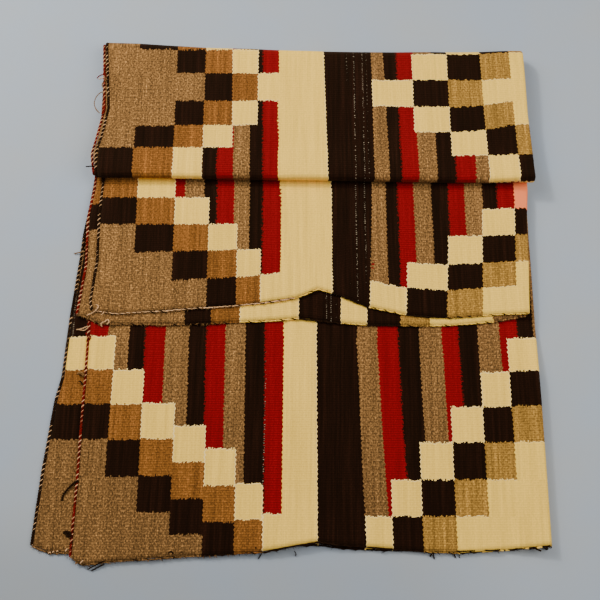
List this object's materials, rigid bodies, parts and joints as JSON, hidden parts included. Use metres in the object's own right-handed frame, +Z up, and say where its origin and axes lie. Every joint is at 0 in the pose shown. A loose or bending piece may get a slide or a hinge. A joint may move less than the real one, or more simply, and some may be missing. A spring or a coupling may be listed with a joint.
{
  "type": "folded woven blanket",
  "caption": "Hand-woven wool tapestry blanket in stripes and stepped blocks, folded in half and then back and forth, lying flat with twined edge cords.",
  "frame": {"origin": "on the surface that the blanket lies on, under the middle of its bounding box", "axes": "+X along the folds, to the fold that joins the two halves; +Y away from the near hem, towards the far fold; +Z up"},
  "size_m": [0.733, 0.8216, 0.0341],
  "materials": {
    "tapestry_wool": "matte weft-faced wool tapestry, ribbed over the warp, in cream, dark brown, tan, grey-brown and red",
    "dark_twined_wool": "dark brown and white wool, twined",
    "red_twined_wool": "red and white wool, twined",
    "dark_plied_wool": "dark brown wool, plied",
    "white_plied_wool": "natural white wool, plied"
  },
  "bodies": {
    "root": {"woven_blanket": "tapestry_wool", "end_cord_dark": "dark_twined_wool", "end_cord_red": "red_twined_wool", "side_cord_near": "dark_plied_wool", "side_cord_middle": "white_plied_wool", "loose_end_near": "dark_plied_wool", "loose_end_near_short": "dark_plied_wool", "loose_end_middle": "white_plied_wool"}
  },
  "joints": []
}
